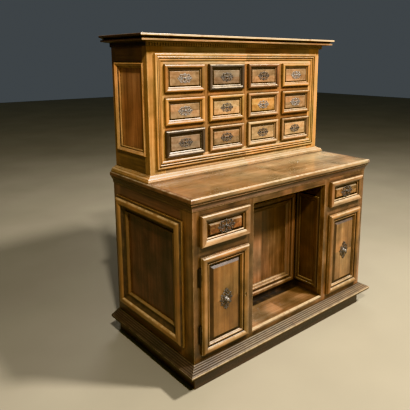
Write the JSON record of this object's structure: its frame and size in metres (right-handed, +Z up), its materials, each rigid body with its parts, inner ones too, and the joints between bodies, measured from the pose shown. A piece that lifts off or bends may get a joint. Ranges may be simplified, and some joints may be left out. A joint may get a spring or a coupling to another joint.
{
  "type": "vargueno cabinet",
  "caption": "Two-part walnut writing cabinet: a low case of small moulded drawers on a kneehole desk base with drawers over cupboards and a moulded plinth.",
  "frame": {"origin": "middle of the footprint's bounding box, on the floor", "axes": "+Z up, -Y out of the front, +X to the right of someone facing the front"},
  "size_m": [1.276, 0.688, 1.489],
  "materials": {
    "case_walnut": "old waxed walnut, golden brown with dark grain and worn edges",
    "panel_walnut": "dark figured walnut panels, waxed",
    "door_walnut": "light golden walnut, straight grained, waxed",
    "drawer_walnut": "golden walnut drawer fronts with pale linings, waxed",
    "dark_walnut": "near-black walnut drawer fronts, waxed",
    "top_walnut": "rubbed lighter walnut top with a worn edge",
    "base_walnut": "greyish brown worn walnut",
    "back_boards": "plain unpolished boards",
    "iron": "dark wrought iron, slightly rubbed"
  },
  "bodies": {
    "carcass": {"plinth": "base_walnut", "base_moulding": "base_walnut", "lower_bottom_board": "back_boards", "lower_front_frame": "case_walnut", "lower_side_frames": "case_walnut", "lower_side_panels": "panel_walnut", "lower_side_mouldings": "case_walnut", "lower_back_boards": "back_boards", "kneehole_lining": "case_walnut", "kneehole_mouldings": "case_walnut", "pedestal_runners": "back_boards", "under_top_moulding": "case_walnut", "table_top": "top_walnut", "upper_base_moulding": "case_walnut", "upper_front_frame": "case_walnut", "upper_side_frames": "case_walnut", "upper_side_panels": "panel_walnut", "upper_side_mouldings": "case_walnut", "upper_back_boards": "back_boards", "upper_inner_boards": "case_walnut", "bank_moulding": "case_walnut", "cornice": "case_walnut", "dentil_strip": "case_walnut", "post_hinges": "iron"},
    "left_door": {"left_door_frame": "case_walnut", "left_door_panel": "door_walnut", "left_door_rosette": "iron", "left_door_hinges": "iron"},
    "left_drawer": {"left_lower_drawer": "drawer_walnut", "left_lower_drawer_mount": "iron"},
    "right_door": {"right_door_frame": "case_walnut", "right_door_panel": "door_walnut", "right_door_rosette": "iron", "right_door_hinges": "iron"},
    "right_drawer": {"right_lower_drawer": "drawer_walnut", "right_lower_drawer_mount": "iron"},
    "small_drawer_row1_column1": {"drawer_row1_column1": "drawer_walnut", "mount_row1_column1": "iron"},
    "small_drawer_row1_column2": {"drawer_row1_column2": "dark_walnut", "mount_row1_column2": "iron"},
    "small_drawer_row1_column3": {"drawer_row1_column3": "drawer_walnut", "mount_row1_column3": "iron"},
    "small_drawer_row1_column4": {"drawer_row1_column4": "drawer_walnut", "mount_row1_column4": "iron"},
    "small_drawer_row2_column1": {"drawer_row2_column1": "drawer_walnut", "mount_row2_column1": "iron"},
    "small_drawer_row2_column2": {"drawer_row2_column2": "drawer_walnut", "mount_row2_column2": "iron"},
    "small_drawer_row2_column3": {"drawer_row2_column3": "drawer_walnut", "mount_row2_column3": "iron"},
    "small_drawer_row2_column4": {"drawer_row2_column4": "drawer_walnut", "mount_row2_column4": "iron"},
    "small_drawer_row3_column1": {"drawer_row3_column1": "dark_walnut", "mount_row3_column1": "iron"},
    "small_drawer_row3_column2": {"drawer_row3_column2": "drawer_walnut", "mount_row3_column2": "iron"},
    "small_drawer_row3_column3": {"drawer_row3_column3": "drawer_walnut", "mount_row3_column3": "iron"},
    "small_drawer_row3_column4": {"drawer_row3_column4": "drawer_walnut", "mount_row3_column4": "iron"}
  },
  "joints": [
    {"name": "left_door_hinge", "type": "hinge", "parent": "carcass", "child": "left_door", "pos_m": [-0.5585, -0.3005, 0.246], "axis": [0, 0, -1], "range_deg": [0, 105]},
    {"name": "left_drawer_slide", "type": "slide", "parent": "carcass", "child": "left_drawer", "axis": [0, -1, 0], "range_m": [0, 0.4]},
    {"name": "right_door_hinge", "type": "hinge", "parent": "carcass", "child": "right_door", "pos_m": [0.5585, -0.3005, 0.246], "axis": [0, 0, 1], "range_deg": [0, 105]},
    {"name": "right_drawer_slide", "type": "slide", "parent": "carcass", "child": "right_drawer", "axis": [0, -1, 0], "range_m": [0, 0.4]},
    {"name": "slide_row1_column1", "type": "slide", "parent": "carcass", "child": "small_drawer_row1_column1", "axis": [0, -1, 0], "range_m": [0, 0.2]},
    {"name": "slide_row1_column2", "type": "slide", "parent": "carcass", "child": "small_drawer_row1_column2", "axis": [0, -1, 0], "range_m": [0, 0.2]},
    {"name": "slide_row1_column3", "type": "slide", "parent": "carcass", "child": "small_drawer_row1_column3", "axis": [0, -1, 0], "range_m": [0, 0.2]},
    {"name": "slide_row1_column4", "type": "slide", "parent": "carcass", "child": "small_drawer_row1_column4", "axis": [0, -1, 0], "range_m": [0, 0.2]},
    {"name": "slide_row2_column1", "type": "slide", "parent": "carcass", "child": "small_drawer_row2_column1", "axis": [0, -1, 0], "range_m": [0, 0.2]},
    {"name": "slide_row2_column2", "type": "slide", "parent": "carcass", "child": "small_drawer_row2_column2", "axis": [0, -1, 0], "range_m": [0, 0.2]},
    {"name": "slide_row2_column3", "type": "slide", "parent": "carcass", "child": "small_drawer_row2_column3", "axis": [0, -1, 0], "range_m": [0, 0.2]},
    {"name": "slide_row2_column4", "type": "slide", "parent": "carcass", "child": "small_drawer_row2_column4", "axis": [0, -1, 0], "range_m": [0, 0.2]},
    {"name": "slide_row3_column1", "type": "slide", "parent": "carcass", "child": "small_drawer_row3_column1", "axis": [0, -1, 0], "range_m": [0, 0.2]},
    {"name": "slide_row3_column2", "type": "slide", "parent": "carcass", "child": "small_drawer_row3_column2", "axis": [0, -1, 0], "range_m": [0, 0.2]},
    {"name": "slide_row3_column3", "type": "slide", "parent": "carcass", "child": "small_drawer_row3_column3", "axis": [0, -1, 0], "range_m": [0, 0.2]},
    {"name": "slide_row3_column4", "type": "slide", "parent": "carcass", "child": "small_drawer_row3_column4", "axis": [0, -1, 0], "range_m": [0, 0.2]}
  ]
}
